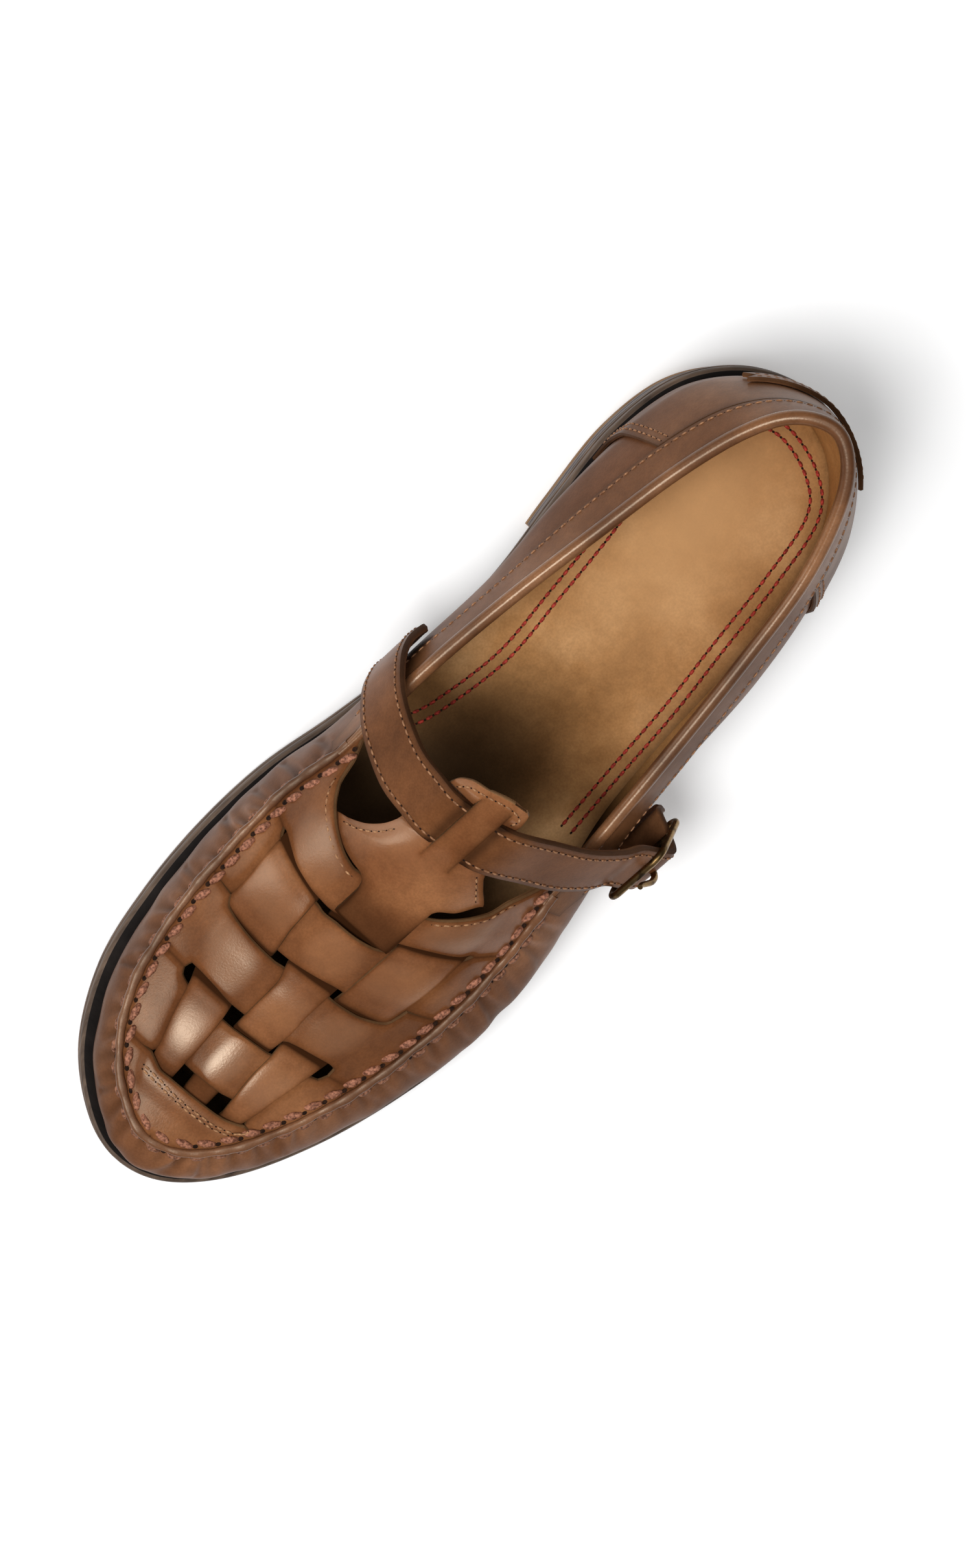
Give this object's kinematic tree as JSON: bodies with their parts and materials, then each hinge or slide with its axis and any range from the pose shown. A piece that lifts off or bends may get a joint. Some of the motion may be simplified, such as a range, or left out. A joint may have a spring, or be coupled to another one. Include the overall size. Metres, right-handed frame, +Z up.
{
  "type": "woven t-bar loafer",
  "caption": "Women's left leather loafer with a woven apron, hand-sewn seam, T-bar, buckled instep strap, thin leather sole and low stacked heel.",
  "frame": {"origin": "middle of the bounding box at floor level", "axes": "+X to the toe, +Y to the outer side of the left foot, +Z up"},
  "size_m": [0.263, 0.0915, 0.0891],
  "materials": {
    "top_lift": "tan tread, worn satin",
    "heel_block": "stacked leather lifts, dark red-brown, waxed edge",
    "outsole": "sole leather, brown-grey edge",
    "welt": "sole leather, dark purple-brown waxed edge",
    "insole": "tan smooth leather, matt",
    "upper": "cognac brown smooth leather, soft sheen",
    "collar_band": "cognac brown smooth leather, soft sheen",
    "heel_counter": "cognac brown smooth leather, soft sheen",
    "back_strip": "cognac brown smooth leather, soft sheen",
    "strap": "cognac brown smooth leather, soft sheen",
    "buckle_frame": "antique brass, darkened in the corners",
    "buckle_prong": "antique brass"
  },
  "bodies": {
    "root": {"top_lift": "top_lift", "heel_block": "heel_block", "outsole": "outsole", "welt": "welt", "insole": "insole", "upper": "upper", "collar_band": "collar_band", "heel_counter": "heel_counter", "back_strip": "back_strip", "strap": "strap", "buckle_frame": "buckle_frame", "buckle_prong": "buckle_prong"}
  },
  "joints": []
}
